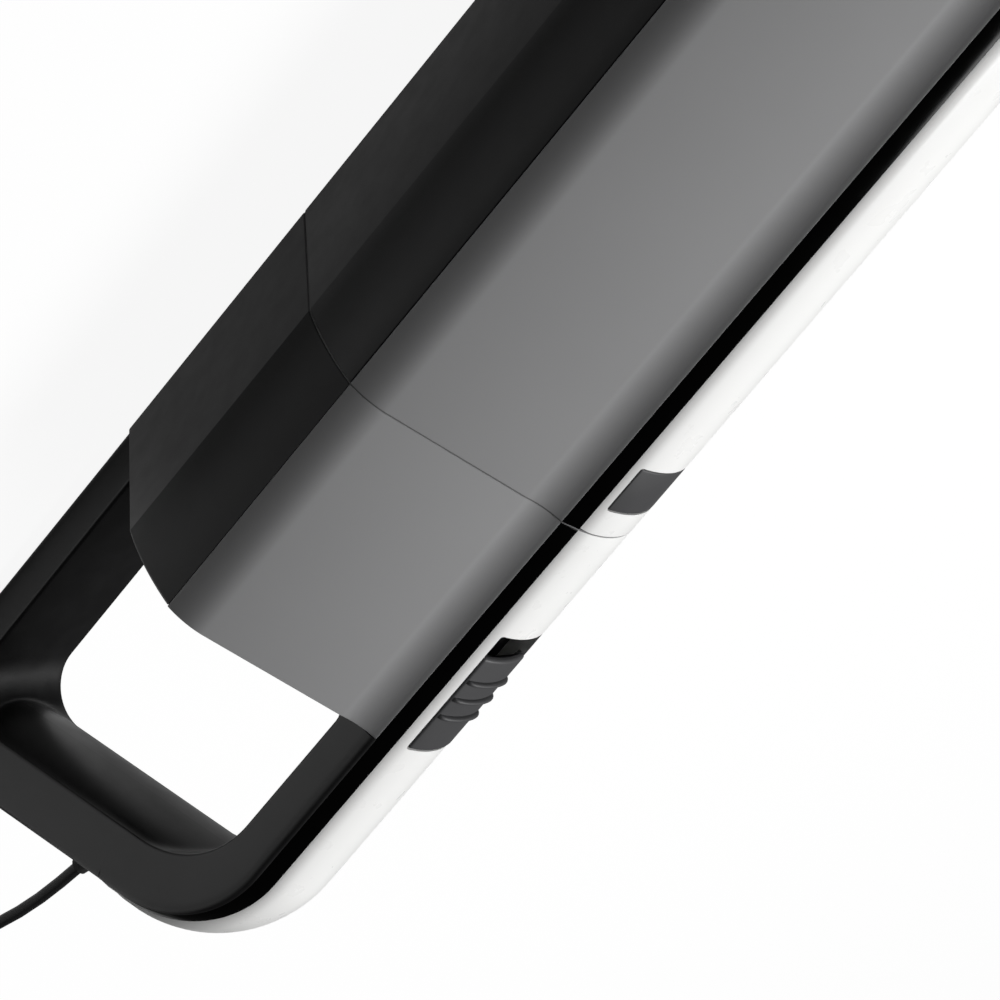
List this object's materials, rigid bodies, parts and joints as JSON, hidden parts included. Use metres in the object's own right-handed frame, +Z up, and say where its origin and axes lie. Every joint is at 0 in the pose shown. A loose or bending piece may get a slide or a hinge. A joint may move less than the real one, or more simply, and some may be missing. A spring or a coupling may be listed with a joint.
{
  "type": "car vacuum cleaner",
  "caption": "Hand-held 12 V car vacuum cleaner with a loop handle, slide switch, pull-off dust cup, filter and corded vehicle plug.",
  "frame": {"origin": "on the flat resting face, on the mid-plane, below the parting line of motor unit and dust cup", "axes": "+X forward to the nozzle, +Y to the left, +Z up"},
  "size_m": [0.598, 0.112, 0.1122],
  "materials": {
    "black_plastic": "fine satin moulding texture",
    "inner_plastic": "plain moulded",
    "grey_plastic": "satin painted grey",
    "white_plastic": "glossy white",
    "trim_gloss": "polished black",
    "switch_plastic": "satin dark grey",
    "fan_plastic": "plain moulded grey",
    "filter_plastic": "plain moulded white",
    "filter_paper": "pleated paper fleece",
    "soft_rubber": "soft matt rubber",
    "cord_jacket": "smooth PVC jacket",
    "tie_plastic": "soft touch-fastener strap",
    "plug_plastic": "satin black",
    "steel": "plain steel",
    "magnet": "sintered ferrite",
    "brass": "plain brass",
    "copper": "enamelled copper",
    "lamp_lens": "translucent red"
  },
  "bodies": {
    "motor_unit": {"housing_left": "black_plastic", "housing_right": "black_plastic", "side_panel_left": "grey_plastic", "side_panel_right": "grey_plastic", "top_cover": "white_plastic", "trim_left": "trim_gloss", "trim_right": "trim_gloss", "exhaust_grille_left": "black_plastic", "exhaust_grille_right": "black_plastic", "housing_screws": "steel", "bulkhead": "inner_plastic", "cup_gasket": "soft_rubber", "fan_shroud": "inner_plastic", "fan_housing": "inner_plastic", "motor_can": "steel", "motor_magnets": "magnet", "end_cap": "inner_plastic", "shaft_bushings": "brass", "carbon_brushes": "magnet", "motor_terminals": "brass", "motor_mount": "soft_rubber", "motor_screws": "steel", "switch_body": "inner_plastic", "switch_terminals": "brass", "supply_lead": "cord_jacket", "motor_leads": "copper", "strain_relief": "soft_rubber", "cord_free": "cord_jacket", "cord_coil": "cord_jacket", "cord_tail": "cord_jacket", "coil_tie": "tie_plastic", "plug_body": "plug_plastic", "plug_ring": "plug_plastic", "plug_contacts": "steel", "plug_lamp": "lamp_lens", "plug_spring": "steel"},
    "dust_cup": {"cup_shell": "black_plastic", "cup_panel_left": "grey_plastic", "cup_panel_right": "grey_plastic", "cup_cover": "white_plastic", "cup_trim_left": "trim_gloss", "cup_trim_right": "trim_gloss", "button_spring": "steel", "nozzle": "black_plastic", "baffle": "inner_plastic", "flap_pin": "steel"},
    "button": {"release_button": "switch_plastic"},
    "flap": {"inlet_flap": "soft_rubber"},
    "filter": {"filter_frame": "filter_plastic", "pleated_filter": "filter_paper", "filter_seal": "soft_rubber"},
    "knob": {"switch_knob": "switch_plastic"},
    "rotor": {"impeller": "fan_plastic", "impeller_nut": "brass", "motor_shaft": "steel", "armature": "steel", "windings": "copper", "commutator": "copper"},
    "contact_tip": {"plug_tip": "steel", "plug_fuse": "steel"}
  },
  "joints": [
    {"name": "switch_slide", "type": "slide", "parent": "motor_unit", "child": "knob", "axis": [1, 0, 0], "range_m": [0, 0.007]},
    {"name": "motor_spin", "type": "hinge", "parent": "motor_unit", "child": "rotor", "pos_m": [-0.04, 0, 0.052], "axis": [1, 0, 0], "continuous": true},
    {"name": "cup_pull", "type": "slide", "parent": "motor_unit", "child": "dust_cup", "axis": [1, 0, 0], "range_m": [0, 0.12]},
    {"name": "button_press", "type": "slide", "parent": "dust_cup", "child": "button", "axis": [0, 0, -1], "range_m": [0, 0.0025], "stiffness_N_per_m": 800, "springref_m": -0.002, "deforming": ["button_spring"]},
    {"name": "flap_swing", "type": "hinge", "parent": "dust_cup", "child": "flap", "pos_m": [0.1253, 0, 0.059], "axis": [0, 1, 0], "range_deg": [0, 75]},
    {"name": "filter_pull", "type": "slide", "parent": "motor_unit", "child": "filter", "axis": [1, 0, 0], "range_m": [0, 0.04]},
    {"name": "tip_press", "type": "slide", "parent": "motor_unit", "child": "contact_tip", "axis": [1, 0, 0], "range_m": [0, 0.003], "stiffness_N_per_m": 1000, "springref_m": -0.002, "deforming": ["plug_spring"]}
  ]
}
